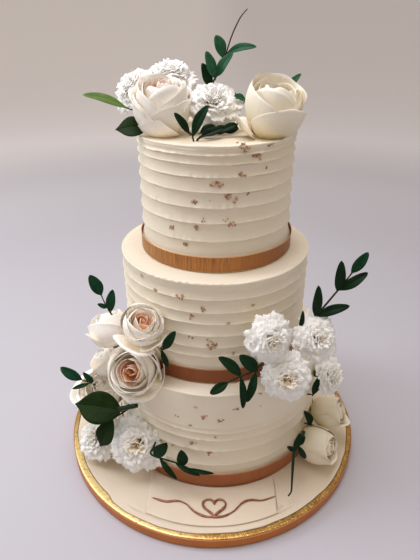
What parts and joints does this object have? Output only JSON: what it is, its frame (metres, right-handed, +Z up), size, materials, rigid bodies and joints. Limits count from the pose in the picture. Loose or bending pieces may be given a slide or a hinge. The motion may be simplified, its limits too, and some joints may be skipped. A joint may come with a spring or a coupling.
{
  "type": "tiered wedding cake",
  "caption": "Round tiered buttercream wedding cake on its iced board, dressed with ribbons, fresh roses, carnations and foliage; stands flat as a table centrepiece.",
  "frame": {"origin": "middle of the underside of the cake board, the flat face that the cake stands on", "axes": "+Z up through the tiers, -Y towards the front, where the plaque lies on the board, +X to the right as seen from the front"},
  "size_m": [0.3556, 0.3556, 0.4714],
  "materials": {
    "icing": "soft satin cream buttercream, combed into ridges, with small flecks of rose-gold leaf",
    "board_icing": "smooth cream fondant, satin",
    "gold_paint": "brushed edible gold, slightly flaky",
    "copper_ribbon": "copper-brown satin ribbon",
    "copper_piping": "painted copper, satin",
    "drum": "plain pale board, matte",
    "rose_petal": "cream petals with peach hearts, soft satin",
    "carnation_petal": "white ruffled petals, matte",
    "leaf": "dark green glossy leaves and stems"
  },
  "bodies": {
    "root": {"board_drum": "drum", "board_gold_rim": "gold_paint", "board_icing": "board_icing", "board_ribbon": "copper_ribbon", "left_bloom_small": "rose_petal", "left_carnation_back": "carnation_petal", "left_carnation_front": "carnation_petal", "left_leaf_large": "leaf", "left_leaf_lower": "leaf", "left_rose_lower": "rose_petal", "left_rose_middle": "rose_petal", "left_rose_side": "rose_petal", "left_rose_upper": "rose_petal", "left_sprig_far": "leaf", "left_sprig_inner": "leaf", "left_sprig_low": "leaf", "left_sprig_upper": "leaf", "left_stem": "leaf", "plaque": "board_icing", "plaque_ornament": "copper_piping", "ribbon_bottom": "copper_ribbon", "ribbon_middle": "copper_ribbon", "ribbon_top": "copper_ribbon", "right_carnation_lower": "carnation_petal", "right_carnation_side": "carnation_petal", "right_carnation_small": "carnation_petal", "right_carnation_upper": "carnation_petal", "right_leaf_calyx": "leaf", "right_leaf_gap": "leaf", "right_leaf_small": "leaf", "right_rose_back": "rose_petal", "right_rose_front": "rose_petal", "right_sprig_left": "leaf", "right_sprig_low": "leaf", "right_sprig_upper": "leaf", "tier_bottom": "icing", "tier_middle": "icing", "tier_top": "icing", "top_bud_rose": "rose_petal", "top_carnation_back": "carnation_petal", "top_carnation_front": "carnation_petal", "top_carnation_left": "carnation_petal", "top_leaf_back": "leaf", "top_leaf_long": "leaf", "top_leaf_rose": "leaf", "top_leaves_low": "leaf", "top_rose": "rose_petal", "top_sprig_front": "leaf", "top_sprig_small": "leaf", "top_sprig_tall": "leaf"}
  },
  "joints": []
}
